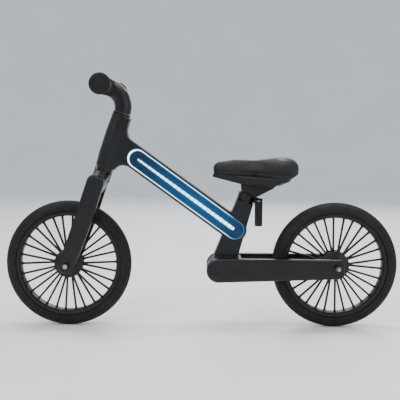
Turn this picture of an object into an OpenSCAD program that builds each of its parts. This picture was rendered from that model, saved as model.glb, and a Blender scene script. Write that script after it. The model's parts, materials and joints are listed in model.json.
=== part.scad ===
// Balance bike for a small child, with light panels in the main beam.
// The bike faces -X, +Z is up, and the rider's left is -Y.
// The origin is on the ground, midway between the two axles.

/* [Wheels] */
// Distance between the two axles
wheelbase = 620; // [600:1:640]
// Outer radius of both tyres
tyre_r = 146; // [140:1:150]
// Half the width of the tyres
tyre_half_w = 20; // [17:1:21]
// Inner radius of the rim, where the spokes end
rim_in_r = 111; // [106:1:113]
// Radius of the flange on each side of the hub
flange_r = 33; // [28:1:36]
// Number of spokes in each wheel
spoke_count = 30; // [20:2:36]
// Turn of the front wheel, from a spoke lying level
front_turn = 1.8; // [0:0.1:12]
// Turn of the rear wheel, from a spoke lying level
rear_turn = 7.6; // [0:0.1:12]
// Width of a spoke seen from the side
spoke_w = 4.8; // [3:0.1:5]
// Radius of both axles
axle_r = 5; // [4:0.5:6]
// Length of each turned-down end of the rear axle
axle_stub = 10; // [6:1:12]
// Radius of the turned-down ends of the rear axle
stub_r = 4; // [3.5:0.5:4]

/* [Steering] */
// Lean of the steering axis from the vertical
head_angle = 18; // [17:1:19]
// Distance of the front axle ahead of the steering axis
fork_rake = 10; // [8:1:12]
// Radius of the head tube at its ends
head_r = 21; // [20:0.5:22]
// Radius of the head tube in its middle, where it is widest
head_belly_r = 23; // [22.5:0.5:24]
// Radius of the steerer tube
steerer_r = 12.7; // [12.5:0.1:13]
// Turn of the bars to each side, set by the stop
steer_limit = 60; // [45:1:60]

/* [Handlebar] */
// Half the length of the handlebar, grips included
bar_half = 192; // [180:1:200]
// Radius of the handlebar tube
bar_r = 11.1; // [11:0.1:12]
// Radius of the bend in the stem, which is also its reach
stem_bend_r = 45; // [43:1:46]
// Radius of the stem's body
stem_r = 19.5; // [19:0.5:20]
// Radius of the round grip ends
grip_end_r = 23; // [21:1:24]

/* [Frame] */
// Length of the straight part of the light panel
beam_len = 280; // [270:1:285]
// Slope of the main beam below the horizontal
beam_slope = 35.7; // [35:0.1:36.5]
// Half the depth of the main beam
beam_half_d = 27.5; // [27:0.5:29]
// Half the width of the main beam
beam_half_w = 20; // [20:0.5:21]
// Lean of the seat tube from the vertical
seat_angle = 19; // [18:1:20]
// Radius of the seat tube at its top
seat_tube_r = 19.5; // [19:0.5:20.5]
// Radius of the seat post
post_r = 12.7; // [12.5:0.1:13]
// How far the post can be raised from its lowest place
post_travel = 70; // [50:5:75]

/* [Stays] */
// Distance from the middle to the inner face of a stay or a fork leg
inner_y = 37; // [36:1:40]
// Thickness of a stay or a fork leg
blade_t = 18; // [16:1:20]

/* [Lights] */
// Radius of the outer edge of the light ring
ring_r = 22.5; // [22:0.1:22.5]
// Width of the light ring along its straight sides
ring_w = 3.4; // [3:0.1:4]
// How much wider the light ring is round its head end
ring_head = 3.4; // [2:0.1:4]

/* [Hidden] */

$fn = 96;
// Number of sides of the round children of a hull
hull_fn = 32;
// Gap between two pieces that are pressed or clamped together
fit_gap = 0.02;
// Radial gap of a shaft that turns or slides
run_gap = 0.04;
// Gap between faces that pass each other
face_gap = 0.3;
// Overlap that makes two solids one, or clears a cut's face
eps = 0.5;

front_x = -wheelbase / 2;
rear_x = wheelbase / 2;
hub_z = tyre_r;

// Foot of the steering axis, level with the front axle's foot on it
steer_foot = [front_x + fork_rake * cos(head_angle), 0, hub_z - fork_rake * sin(head_angle)];
head_lo = 231;
head_hi = 365;
crown_top = 230.2;
crown_low = 196;
cup_r = 16;
bearing_out_r = 15.4;
quill_r = 11.1;
steerer_in_r = 11.2;
stem_base = head_hi + 5.6;
steerer_top = head_hi + 13;
// Seat of the expander bolt's head inside the stem
bolt_seat = stem_base + 26.4;
stem_skirt_r = 17.8;
bar_a = stem_base + stem_bend_r;
clamp_half_w = 24;

// Upper end of the straight part of the beam's light panel
beam_head = [-151, 0, 391.3];
// Middle of the seat tube's collar, on the collar's top face
seat_top = [105.5, 0, 311];

nose_c = [38.5, 137.5];
nose_r = 27.5;
stay_end_x = rear_x + 16;
stay_end_lo = 120;
stay_end_hi = 165;
stay_corner_r = 12;
stay_bolt_x = [38, 74];
bolt_m6_r = 3;
bolt_head_r = 5.2;

window_r = 19;
window_len = 225;
cell_r = 7;
pocket_r = ring_r + 0.15;
ledge_y = 14.5;
board_t = 1.4;

hub_r = 17;
hub_half_w = 30;
bearing_r = 13;
bearing_w = 8;
skewer_x = 28;
skewer_s = -7;
washer_y = -15.4;
pivot_y = -25;
cam_r = 8.4;
cam_offset = 1;
lever_w = 17.6;
lever_len = 56;
lever_t = 7;

button_p = 60;
button_r = 6;
socket_p = 112;
port_hinge_p = socket_p + 13;
port_hinge_z = -26.2;

// ---- Frames of reference ----

// Local Z runs up the steering axis and local -X points forward
module on_steering(a = 0)
    translate(steer_foot) rotate([0, head_angle, 0]) translate([0, 0, a]) children();

// Local Z runs up the seat post and local +X points backward
module on_seat(s = 0)
    translate(seat_top) rotate([0, seat_angle, 0]) translate([0, 0, s]) children();

// Local X runs down the beam from its head end and local Z points up from the beam
module on_beam(p = 0)
    translate(beam_head) rotate([0, beam_slope, 0]) translate([p, 0, 0]) children();

// A side outline in X and Z, given thickness from y0 to y1
module side(y0, y1)
    translate([0, y1, 0]) rotate([90, 0, 0]) linear_extrude(y1 - y0) children();

// A round bar along Y, centred on y = 0
module bar_y(r, half)
    rotate([90, 0, 0]) cylinder(r = r, h = 2 * half, center = true);

// A round bar along Y from y0 to y1
module rod_y(r, y0, y1)
    translate([0, y1, 0]) rotate([90, 0, 0]) cylinder(r = r, h = y1 - y0);

// A tube along Y from y0 to y1
module tube_y(r_out, r_in, y0, y1)
    difference() {
        rod_y(r_out, y0, y1);
        rod_y(r_in, y0 - eps, y1 + eps);
    }

// A tube along Z
module tube_z(r_out, r_in, h)
    difference() {
        cylinder(r = r_out, h = h);
        translate([0, 0, -eps]) cylinder(r = r_in, h = h + 2 * eps);
    }

// The same thing on both sides of the bike
module both_sides() {
    children();
    mirror([0, 1, 0]) children();
}

// ---- Frame ----

// Outline of the light panel, in the beam's own plane
module capsule(r, len = beam_len) {
    circle(r = r);
    translate([len, 0]) circle(r = r);
    translate([0, -r]) square([len, 2 * r]);
}

// An outline with its inner corners rounded to radius r
module rounded_corners(r)
    offset(r = -r, $fn = 64) offset(delta = r) children();

// Side outline of the beam and of the part of the head tube that it runs into
module beam_outline() {
    translate([beam_head[0], beam_head[2]]) rotate(-beam_slope) {
        capsule(beam_half_d);
        translate([-70, -beam_half_d]) square([80, 2 * beam_half_d]);
    }
    translate([steer_foot[0], steer_foot[2]]) rotate(-head_angle)
        translate([-14, head_lo + 9]) square([head_r + 17, head_hi - head_lo - 10]);
}

// Side outline of the seat tube, widening towards the yoke
module seat_tube_outline()
    translate([seat_top[0], seat_top[2]]) rotate(-seat_angle)
        polygon([[-seat_tube_r, -17], [seat_tube_r, -17], [27, -140], [15, -175], [-27, -160]]);

// Side outline of the whole casting
module frame_outline(inset)
    offset(delta = -inset) rounded_corners(5) {
        rounded_corners(24) beam_outline();
        seat_tube_outline();
        yoke_outline();
    }

// Side outline of the yoke that the two stays clamp
module yoke_outline() {
    translate(nose_c) circle(r = nose_r - 1.5);
    translate([nose_c[0], nose_c[1] - nose_r + 2.5]) square([54, 2 * nose_r - 5]);
}

module head_barrel()
    rotate_extrude() polygon([
        [0, head_lo], [head_r, head_lo], [head_belly_r, head_lo + 40], [head_belly_r, head_hi - 45],
        [head_r, head_hi], [0, head_hi]
    ]);

// The gap in the head tube's skirt that the fork's stop boss moves in
module stop_notch() {
    notch_half = steer_limit + 9;
    translate([0, 0, head_lo - eps]) rotate([0, 0, 180 - notch_half])
        rotate_extrude(angle = 2 * notch_half)
            translate([17.4, 0]) square([10, 8 + eps]);
}

// Pockets and window in the beam for the lights, and the holes in its underside
module beam_cuts() {
    on_beam() {
        rotate([90, 0, 0]) linear_extrude(60, center = true) capsule(window_r, window_len);
        both_sides() translate([0, ledge_y, 0]) rotate([-90, 0, 0]) linear_extrude(30) capsule(pocket_r);
        translate([button_p, 0, -40]) cylinder(r = button_r + face_gap, h = 30);
        translate([socket_p - 5, -2.2, -40]) cube([10, 4.4, 30]);
        translate([socket_p - 15.4, -5.4, -40]) cube([port_hinge_p + 16.8 - socket_p, 10.8, 15]);
    }
}

module frame() {
    neck_r = seat_tube_r - 3;
    color("#15171a") difference() {
        union() {
            side(-beam_half_w + 5, beam_half_w - 5) frame_outline(0);
            side(-beam_half_w + 2, beam_half_w - 2) frame_outline(1.2);
            side(-beam_half_w, beam_half_w) frame_outline(2.4);
            side(-inner_y + fit_gap, inner_y - fit_gap) yoke_outline();
            on_steering() head_barrel();
            on_seat(-110) cylinder(r = seat_tube_r, h = 94);
            on_seat(-17) cylinder(r = neck_r, h = 16.5);
        }
        on_steering(head_lo - eps) cylinder(r = cup_r - 1.5, h = head_hi - head_lo + 2 * eps);
        on_steering(head_lo - eps) cylinder(r = cup_r + fit_gap, h = 12 + eps);
        on_steering(head_hi - 12) cylinder(r = cup_r + fit_gap, h = 12 + eps);
        on_steering() stop_notch();
        on_seat(-post_travel - 65) cylinder(r = post_r + run_gap, h = post_travel + 66);
        on_seat(-30) translate([0, -1.2, 0]) cube([40, 2.4, 31]);
        beam_cuts();
        // The yoke is a shell, open towards the wheel
        translate([84, 0, nose_c[1]]) cube([44, 60, 40], center = true);
        for (x = stay_bolt_x) translate([x, 0, nose_c[1]]) bar_y(bolt_m6_r + fit_gap, 40);
    }
}

module stay_outline(inset)
    offset(delta = -inset) hull() {
        translate(nose_c) circle(r = nose_r, $fn = 64);
        for (z = [stay_end_lo + stay_corner_r, stay_end_hi - stay_corner_r])
            translate([stay_end_x - stay_corner_r, z]) circle(r = stay_corner_r, $fn = hull_fn);
    }

// One stay on the right-hand side, flat inside and bevelled outside
module stay() {
    y0 = inner_y;
    y1 = inner_y + blade_t;
    difference() {
        union() {
            side(y0, y1 - 4) stay_outline(0);
            side(y0, y1 - 1.5) stay_outline(1.2);
            side(y0, y1) stay_outline(3.5);
        }
        for (x = stay_bolt_x) translate([x, 0, nose_c[1]]) {
            rod_y(bolt_m6_r + fit_gap, y0 - eps, y1 + eps);
            rod_y(bolt_head_r + 0.3, y1 - 6, y1 + eps);
        }
        translate([rear_x, 0, hub_z]) rod_y(axle_r + fit_gap, y0 - eps, y1 + eps);
        translate([94, y0 - eps, 126]) cube([186, 11, 30]);
    }
}

module left_stay() color("#16181b") mirror([0, 1, 0]) stay();
module right_stay() color("#16181b") stay();

module stay_bolts()
    color("#3a3c40") for (x = stay_bolt_x) translate([x, 0, nose_c[1]]) {
        y1 = inner_y + blade_t;
        rod_y(bolt_m6_r, -y1 + 6, y1 - 2);
        difference() {
            rod_y(bolt_head_r, -y1 + 1.5, -y1 + 6);
            translate([0, -y1 + 4, 0]) rotate([90, 0, 0]) cylinder(r = 2.6, h = 5, $fn = 6);
        }
    }

module stay_nuts()
    color("#3a3c40") for (x = stay_bolt_x) translate([x, 0, nose_c[1]])
        tube_y(bolt_head_r, bolt_m6_r + fit_gap, inner_y + blade_t - 6, inner_y + blade_t - 1.5);

// ---- Headset ----

module upper_headset_cup()
    color("#202226") on_steering(head_hi - 11) difference() {
        union() {
            cylinder(r = cup_r, h = 11);
            translate([0, 0, 11]) cylinder(r = head_r, h = 5);
        }
        translate([0, 0, -eps]) cylinder(r = steerer_r + 0.8, h = 20);
        translate([0, 0, 7]) cylinder(r = bearing_out_r + fit_gap, h = 12);
    }

module lower_headset_cup()
    color("#202226") on_steering(head_lo) difference() {
        cylinder(r = cup_r, h = 11);
        translate([0, 0, -eps]) cylinder(r = steerer_r + 0.8, h = 12 + eps);
        translate([0, 0, -eps]) cylinder(r = bearing_out_r + fit_gap, h = 9 + eps);
    }

module headset_bearing() tube_z(bearing_out_r, steerer_r + run_gap, 7);
module upper_headset_bearing() color("#8d9196") on_steering(head_hi - 3.9) headset_bearing();
module lower_headset_bearing() color("#8d9196") on_steering(head_lo + 1.9) headset_bearing();

// ---- Lights ----

// A flat piece beside the beam's middle plane on the right-hand side
module beam_plate(y0, y1)
    on_beam() translate([0, y1, 0]) rotate([90, 0, 0]) linear_extrude(y1 - y0) children();

// Outline of the centre strip, narrower towards its head end
module strip_outline(grow) {
    polygon([
        [2.6 - grow, 0], [3.6 - grow, 2 + grow], [6, 2.8 + grow], [40, 3.5 + grow], [120, 4.3 + grow],
        [271, 4.6 + grow], [275 + grow, 3.4 + grow], [277 + grow, 0], [275 + grow, -3.4 - grow],
        [271, -4.6 - grow], [120, -4.3 - grow], [40, -3.5 - grow], [6, -2.8 - grow], [3.6 - grow, -2 - grow]
    ]);
}

// Inner edge of the light ring, set towards the seat so that the ring is wider at its head end
module ring_inside(gap)
    translate([ring_head, 0]) capsule(ring_r - ring_w - gap, beam_len - ring_head);

module light_ring() beam_plate(ledge_y + board_t + 0.2, beam_half_w + 0.8) difference() {
    capsule(ring_r);
    ring_inside(0);
}
module left_light_ring() color("#d9f6ff") mirror([0, 1, 0]) light_ring();
module right_light_ring() color("#d9f6ff") light_ring();

module centre_strip() beam_plate(ledge_y + board_t + 0.2, beam_half_w + 0.4) strip_outline(0);
module left_centre_strip() color("#e8fbff") mirror([0, 1, 0]) centre_strip();
module right_centre_strip() color("#e8fbff") centre_strip();

module light_panel() beam_plate(beam_half_w - 3, beam_half_w - 0.4) difference() {
    ring_inside(0.1);
    strip_outline(0.1);
}
module left_light_panel() color("#0c3a5c") mirror([0, 1, 0]) light_panel();
module right_light_panel() color("#0c3a5c") light_panel();

module led_board() beam_plate(ledge_y + 0.1, ledge_y + 0.1 + board_t) capsule(ring_r - 0.1);
module left_led_board() color("#1d5a38") mirror([0, 1, 0]) led_board();
module right_led_board() color("#1d5a38") led_board();

// Two cells in line, resting on the window's lower wall
module battery_cells()
    color("#2f6db5") for (p = [122, 174]) on_beam(p) translate([0, 0, cell_r + fit_gap - window_r])
        rotate([0, 90, 0]) {
            cylinder(r = cell_r, h = 49);
            translate([0, 0, 48.5]) cylinder(r = 2.7, h = 1.7);
        }

// Driver board held between the two lamp boards, with its switch and chips
module control_board()
    color("#1d5a38") on_beam() {
        translate([38, -ledge_y, -13.6]) cube([62, 2 * ledge_y, 1.6]);
        translate([button_p - 3, -3, -16.4]) cube([6, 6, 3]);
        translate([76, -3, -12.1]) cube([8, 6, 1.6]);
        translate([88, -2.5, -12.1]) cube([6, 5, 2.2]);
        translate([44, -3, -12.1]) cube([7, 6, 3]);
    }

module charging_socket()
    color("#9a9da1") on_beam(socket_p) difference() {
        translate([-4.8, -2, -24.8]) cube([9.6, 4, 9]);
        translate([-4.1, -1.3, -26]) cube([8.2, 2.6, 8]);
    }

// Button with a flange that keeps it in the beam
module power_button()
    color("#2b2e33") on_beam(button_p) {
        translate([0, 0, -27.3]) cylinder(r = button_r, h = 8.8);
        translate([0, 0, -18.9]) cylinder(r = button_r + 1.4, h = 1.2);
    }

module port_cover()
    color("#1b1d20") on_beam() {
        translate([port_hinge_p, 0, port_hinge_z]) bar_y(1.1, 5);
        translate([socket_p - 10, -5, port_hinge_z - 1.1]) cube([23, 10, 2.2]);
        translate([socket_p - 10, 0, port_hinge_z - 1.1]) cylinder(r = 5, h = 2.2);
    }

// ---- Seat clamp ----

module seat_collar()
    color("#1d1f22") on_seat() difference() {
        union() {
            translate([0, 0, -16]) cylinder(r = seat_tube_r + 0.8, h = 16);
            translate([0, -12, -15]) cube([skewer_x, 24, 14]);
            translate([skewer_x, 0, skewer_s - 1]) bar_y(7, 12);
        }
        translate([0, 0, -17]) cylinder(r = seat_tube_r - 3 + fit_gap, h = 18);
        translate([0, -1.5, -17]) cube([50, 3, 18]);
        translate([skewer_x, 0, skewer_s - 1]) bar_y(3.1, 20);
    }

// Middle of the seat clamp's bolt
clamp_mid = [
    seat_top[0] + skewer_x * cos(seat_angle) + (skewer_s - 1) * sin(seat_angle),
    0,
    seat_top[2] - skewer_x * sin(seat_angle) + (skewer_s - 1) * cos(seat_angle)
];

module clamp_bolt()
    color("#a9adb2") translate(clamp_mid) difference() {
        union() {
            rod_y(3, pivot_y, 20);
            translate([0, pivot_y, 0]) rotate([0, 90, 0]) cylinder(r = 5, h = 6, center = true);
        }
        translate([0, pivot_y, 0]) rotate([0, 90, 0]) cylinder(r = 2.5 + fit_gap, h = 8, center = true);
    }

module cam_pin()
    color("#a9adb2") translate(clamp_mid + [0, pivot_y, 0])
        rotate([0, 90, 0]) cylinder(r = 2.5, h = lever_w - 1, center = true);

module cam_washer()
    color("#2b2e33") translate(clamp_mid) difference() {
        rod_y(7.5, washer_y, -12.1);
        rod_y(3.1, washer_y - 1, -11);
    }

module clamp_nut()
    color("#a9adb2") translate(clamp_mid) difference() {
        rod_y(7, 12.1, 19);
        rod_y(3 + fit_gap, 11, 21);
    }

// Lever that hangs beside the seat tube when it is closed
module clamp_lever() {
    foot_r = 3.5;
    foot_z = -lever_len + foot_r;
    color("#1d1f22") translate(clamp_mid) difference() {
        union() {
            translate([0, pivot_y + cam_offset, 0]) rotate([0, 90, 0])
                cylinder(r = cam_r, h = lever_w, center = true);
            translate([-lever_w / 2, pivot_y - 7.4, foot_z]) cube([lever_w, lever_t, -foot_z]);
            for (x = [-1, 1]) translate([x * (lever_w / 2 - foot_r), 0, foot_z])
                rod_y(foot_r, pivot_y - 7.4, pivot_y - 7.4 + lever_t);
            translate([foot_r - lever_w / 2, pivot_y - 7.4, -lever_len])
                cube([lever_w - 2 * foot_r, lever_t, foot_r + eps]);
        }
        translate([-3.3, pivot_y - 5.6, -11]) cube([6.6, 40, 40]);
        translate([-3.3, pivot_y - 10, 1]) cube([6.6, 40, 40]);
        translate([0, pivot_y, 0]) rotate([0, 90, 0])
            cylinder(r = 2.5 + run_gap, h = lever_w + 2, center = true);
    }
}

// ---- Axles ----

// Outer face of the axle nuts, measured from the middle
nut_y = inner_y + blade_t + 8;

module axle(x) translate([x, 0, hub_z]) bar_y(axle_r, nut_y + 0.6);

module axle_nuts(x)
    translate([x, 0, hub_z]) both_sides() difference() {
        union() {
            rod_y(10, inner_y + blade_t + 0.05, inner_y + blade_t + 2);
            translate([0, nut_y, 0]) rotate([90, 0, 0]) cylinder(r = 8.6, h = 7, $fn = 6);
        }
        rod_y(axle_r + fit_gap, inner_y + blade_t - 1, inner_y + blade_t + 10);
    }

module axle_spacers(x)
    translate([x, 0, hub_z]) both_sides()
        tube_y(8, axle_r + fit_gap, hub_half_w + face_gap, inner_y - 0.05);

module hub_spacer(x) {
    half = hub_half_w - bearing_w - face_gap;
    translate([x, 0, hub_z]) tube_y(7.2, axle_r + fit_gap, -half, half);
}

module front_axle() color("#8d9196") axle(front_x);

// The rear axle's ends are turned down to carry an accessory
module rear_axle()
    color("#8d9196") {
        axle(rear_x);
        translate([rear_x, 0, hub_z]) bar_y(stub_r, nut_y + 0.6 + axle_stub);
    }

module front_axle_nuts() color("#2b2e33") axle_nuts(front_x);
module rear_axle_nuts() color("#2b2e33") axle_nuts(rear_x);
module front_axle_spacers() color("#8d9196") axle_spacers(front_x);
module rear_axle_spacers() color("#8d9196") axle_spacers(rear_x);
module front_hub_spacer() color("#8d9196") hub_spacer(front_x);
module rear_hub_spacer() color("#8d9196") hub_spacer(rear_x);

// ---- Fork ----

// Side outline of a leg, with X forward of the steering axis turned to -X
module leg_outline(inset)
    offset(delta = -inset) {
        translate([-fork_rake, 0]) circle(r = 18.5);
        polygon([
            [-fork_rake - 18.5, 0], [-26, 60], [-25, 206], [-19.5, 217], [10, 217], [15, 204],
            [15, 115], [12.5, 55], [18.5 - fork_rake, 0]
        ]);
    }

module leg_plate(y0, y1)
    on_steering() translate([0, y1, 0]) rotate([90, 0, 0]) linear_extrude(y1 - y0) children();

module crown()
    on_steering() {
        translate([0, 0, crown_low + 10]) cylinder(r = head_r, h = crown_top - crown_low - 10);
        hull() {
            translate([0, 0, crown_top - 6]) cylinder(r = head_r - 1, h = 5, $fn = hull_fn);
            both_sides() {
                translate([-19, inner_y + 2, 178]) cube([30, 10, 26]);
                translate([-12, inner_y + 12, 190]) cube([20, 4, 14]);
            }
        }
    }

module fork() {
    y0 = inner_y;
    y1 = inner_y + blade_t;
    color("#15171a") difference() {
        union() {
            both_sides() {
                leg_plate(y0, y1 - 4) leg_outline(0);
                leg_plate(y0, y1 - 1.5) leg_outline(1.2);
                leg_plate(y0, y1) leg_outline(3.5);
            }
            crown();
            // Boss that meets the ends of the notch in the head tube's skirt
            on_steering(crown_top - eps) rotate([0, 0, 173])
                rotate_extrude(angle = 14) translate([18, 0]) square([2.8, 7.5 + eps]);
        }
        on_steering(crown_low - 30) cylinder(r = steerer_r + fit_gap, h = 80);
        translate([front_x, 0, hub_z]) bar_y(axle_r + fit_gap, inner_y + blade_t + 5);
        // Underside of the crown, arched over the tyre
        translate([front_x, 0, hub_z]) bar_y(tyre_r + 22, inner_y - 0.5);
    }
}

module steerer()
    color("#8d9196") on_steering(crown_low)
        tube_z(steerer_r, steerer_in_r, steerer_top - crown_low);

module crown_race()
    color("#8d9196") on_steering(crown_top + 0.05) tube_z(14.6, steerer_r + fit_gap, 2.3);

// Nut with a narrow foot that reaches down to the bearing inside the cup
module headset_locknut()
    color("#8d9196") on_steering(head_hi + 3.3) difference() {
        union() {
            cylinder(r = 14.8, h = 3);
            translate([0, 0, 2]) cylinder(r = 17, h = 7);
        }
        translate([0, 0, -eps]) cylinder(r = steerer_r + fit_gap, h = 11);
    }

// ---- Stem and handlebar ----

module stem_body()
    translate([-stem_bend_r, 0, stem_base]) rotate([90, 0, 0])
        rotate_extrude(angle = 90) translate([stem_bend_r, 0]) circle(r = stem_r);

module bolt_spots()
    for (y = [-17, 17]) for (a = [-15, 15]) translate([-stem_bend_r, y, bar_a + a]) children();

module stem()
    color("#15171a") on_steering() difference() {
        union() {
            stem_body();
            translate([0, 0, 300]) cylinder(r = quill_r, h = stem_base - 284);
            intersection() {
                union() {
                    translate([-stem_bend_r, 0, bar_a]) bar_y(17.5, clamp_half_w);
                    translate([-stem_bend_r, -clamp_half_w, bar_a - 19]) cube([8, 2 * clamp_half_w, 38]);
                }
                translate([-stem_bend_r + 0.6, -50, bar_a - 50]) cube([60, 100, 100]);
            }
        }
        difference() {
            translate([0, 0, stem_base - eps]) cylinder(r = stem_skirt_r, h = 10.4 + eps);
            translate([0, 0, 290]) cylinder(r = quill_r, h = 110);
        }
        translate([0, 0, 290]) cylinder(r = 3.6, h = 140);
        translate([0, 0, bolt_seat]) cylinder(r = 7, h = 40);
        translate([-stem_bend_r, 0, bar_a]) bar_y(bar_r + fit_gap, 40);
        translate([-stem_bend_r - 30.6 + 1.2, -50, bar_a - 50]) cube([30, 100, 100]);
        bolt_spots() rotate([0, 90, 0]) cylinder(r = 2.5 + fit_gap, h = 14);
    }

module stem_faceplate()
    color("#15171a") on_steering() difference() {
        intersection() {
            union() {
                translate([-stem_bend_r, 0, bar_a]) bar_y(17, clamp_half_w);
                translate([-stem_bend_r - 7, -clamp_half_w, bar_a - 19]) cube([7, 2 * clamp_half_w, 38]);
            }
            translate([-stem_bend_r - 60.6, -50, bar_a - 50]) cube([60, 100, 100]);
        }
        translate([-stem_bend_r, 0, bar_a]) bar_y(bar_r + fit_gap, 40);
        bolt_spots() rotate([0, 90, 0]) {
            translate([0, 0, -20]) cylinder(r = 2.5 + fit_gap, h = 40);
            translate([0, 0, -20]) cylinder(r = 4.5, h = 12.9);
        }
    }

module faceplate_bolts()
    color("#8d9196") on_steering() bolt_spots() rotate([0, 90, 0]) {
        translate([0, 0, -7.1]) cylinder(r = 2.5, h = 18);
        difference() {
            translate([0, 0, -11.6]) cylinder(r = 4.2, h = 4.5);
            translate([0, 0, -12]) cylinder(r = 2.2, h = 3, $fn = 6);
        }
    }

module expander_bolt()
    color("#8d9196") on_steering() difference() {
        union() {
            translate([0, 0, 276]) cylinder(r = 3.4, h = bolt_seat + eps - 276);
            translate([0, 0, bolt_seat + 0.2]) cylinder(r = 6, h = 6);
        }
        translate([0, 0, bolt_seat + 3]) cylinder(r = 3, h = 5, $fn = 6);
    }

module wedge_nut()
    color("#8d9196") on_steering(274) tube_z(quill_r, 3.4 + fit_gap, 25.8);

module stem_cap()
    color("#101113") on_steering() difference() {
        translate([0, 0, bolt_seat + 6.4]) cylinder(r = 6.9, h = 22);
        // Trimmed to the curve of the stem's back
        translate([-stem_bend_r, 0, stem_base]) rotate([90, 0, 0]) rotate_extrude() polygon([
            [stem_bend_r + stem_r - 0.4, -20], [stem_bend_r + stem_r + 30, -20],
            [stem_bend_r + stem_r + 30, 20], [stem_bend_r + stem_r - 0.4, 20]
        ]);
    }

// Middle of the handlebar
bar_mid = [
    steer_foot[0] + bar_a * sin(head_angle) - stem_bend_r * cos(head_angle),
    0,
    steer_foot[2] + bar_a * cos(head_angle) + stem_bend_r * sin(head_angle)
];

module handlebar()
    color("#1d1f22") translate(bar_mid) tube_y(bar_r, bar_r - 2, -bar_half + 4, bar_half - 4);

// Grip with a flange inside and a round end outside
module grip()
    translate(bar_mid) rotate([-90, 0, 0]) difference() {
        rotate_extrude() polygon([
            [0, 84], [19, 84], [20, 85.5], [20, 87.5], [18, 89.5], [15.5, 91], [14.5, 100],
            [15.5, 140], [16, 176], [18, 182], [grip_end_r - 0.8, 184.5], [grip_end_r, 187],
            [grip_end_r - 1, bar_half - 2], [grip_end_r - 5, bar_half], [0, bar_half]
        ]);
        translate([0, 0, 80]) cylinder(r = bar_r + fit_gap, h = bar_half - 83.95);
    }
module left_grip() color("#101113") mirror([0, 1, 0]) grip();
module right_grip() color("#101113") grip();

// ---- Wheels ----

module spoked_wheel(x, turn)
    translate([x, 0, hub_z]) rotate([90, 0, 0]) {
        // Rim channel
        rotate_extrude() polygon([
            [rim_in_r, -12], [rim_in_r, 12], [rim_in_r + 3, 17], [rim_in_r + 11, 17],
            [rim_in_r + 11, 14.4], [rim_in_r + 5.5, 12.6], [rim_in_r + 5.5, -12.6],
            [rim_in_r + 11, -14.4], [rim_in_r + 11, -17], [rim_in_r + 3, -17]
        ]);
        // Hub
        rotate_extrude() polygon([
            [11, -hub_half_w + bearing_w], [11, hub_half_w - bearing_w],
            [bearing_r + fit_gap, hub_half_w - bearing_w], [bearing_r + fit_gap, hub_half_w],
            [hub_r, hub_half_w], [hub_r + 1, 18], [flange_r, 15],
            [flange_r, 9], [hub_r + 2, 7], [hub_r + 2, -7], [flange_r, -9], [flange_r, -15],
            [hub_r + 1, -18], [hub_r, -hub_half_w], [bearing_r + fit_gap, -hub_half_w],
            [bearing_r + fit_gap, -hub_half_w + bearing_w]
        ]);
        for (i = [0 : spoke_count - 1]) rotate([0, 0, i * 360 / spoke_count + turn])
            spoke(i % 2 == 0 ? 1 : -1);
    }

// One flat spoke from a hub flange to the middle of the rim
module spoke(s) {
    lean = atan(8 / (rim_in_r - flange_r));
    translate([flange_r - 3, 0, s * 12]) rotate([0, s * lean, 0])
        translate([0, -spoke_w / 2, -3]) cube([(rim_in_r - flange_r) + 5.5, spoke_w, 6]);
}

module tyre(x)
    translate([x, 0, hub_z]) rotate([90, 0, 0]) rotate_extrude() {
        intersection() {
            translate([tyre_r - tyre_half_w, 0]) circle(r = tyre_half_w);
            translate([rim_in_r + 11.1, -30]) square([60, 60]);
        }
        polygon([
            [rim_in_r + 5.6, -12.4], [rim_in_r + 11.6, -14.2],
            [rim_in_r + 11.6, 14.2], [rim_in_r + 5.6, 12.4]
        ]);
    }

module wheel_bearings(x)
    translate([x, 0, hub_z]) both_sides()
        tube_y(bearing_r, axle_r + run_gap, hub_half_w - bearing_w, hub_half_w);

module front_wheel() color("#131416") spoked_wheel(front_x, front_turn);
module rear_wheel() color("#131416") spoked_wheel(rear_x, rear_turn);
module front_tyre() color("#1a1b1d") tyre(front_x);
module rear_tyre() color("#1a1b1d") tyre(rear_x);
module front_wheel_bearings() color("#8d9196") wheel_bearings(front_x);
module rear_wheel_bearings() color("#8d9196") wheel_bearings(rear_x);

// ---- Saddle ----

module seat_post() color("#2b2e33") on_seat(-post_travel - 54) tube_z(post_r, post_r - 2.5, post_travel + 90);

// Everything above the joint between the saddle's shell and its pad, raised by lift
module above_joint(lift)
    side(-100, 100) translate([0, lift]) polygon([
        [-30, 358.5], [130, 351.2], [176, 349], [206, 350.3], [240, 372], [240, 450], [-30, 450]
    ]);

// Moulded shell under the pad, with the bracket that holds the post
module saddle_base()
    color("#16181b") difference() {
        union() {
            hull() {
                translate([40.5, 0, 349.5]) cylinder(r = 17, h = 8, $fn = hull_fn);
                both_sides() {
                    translate([112, 14, 332]) cylinder(r = 16, h = 24, $fn = hull_fn);
                    translate([160, 24, 332]) cylinder(r = 20, h = 22, $fn = hull_fn);
                    translate([175, 32, 341]) cylinder(r = 23, h = 13, $fn = hull_fn);
                    translate([184, 26, 341]) cylinder(r1 = 16, r2 = 33, h = 16, $fn = hull_fn);
                }
            }
            on_seat() translate([0, 16, 0]) rotate([90, 0, 0]) linear_extrude(32) polygon([
                [-16, 0.6], [22, 0.6], [50, 30], [58, 44], [-30, 34], [-23.5, 18]
            ]);
            on_seat(0.6) cylinder(r = post_r + 4, h = 34);
        }
        above_joint(-0.1);
        on_seat(-1) cylinder(r = post_r + fit_gap, h = 37.1);
        for (y = [-1, 1]) translate([150, y * 24, 320]) cylinder(r = 2.5 + fit_gap, h = 22);
    }

module saddle_bolts()
    color("#3a3c40") for (y = [-1, 1]) translate([150, y * 24, 0]) {
        translate([0, 0, 330]) cylinder(r = 2.5, h = 11.8);
        translate([0, 0, 327.4]) cylinder(r = 4.5, h = 3);
    }

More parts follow.
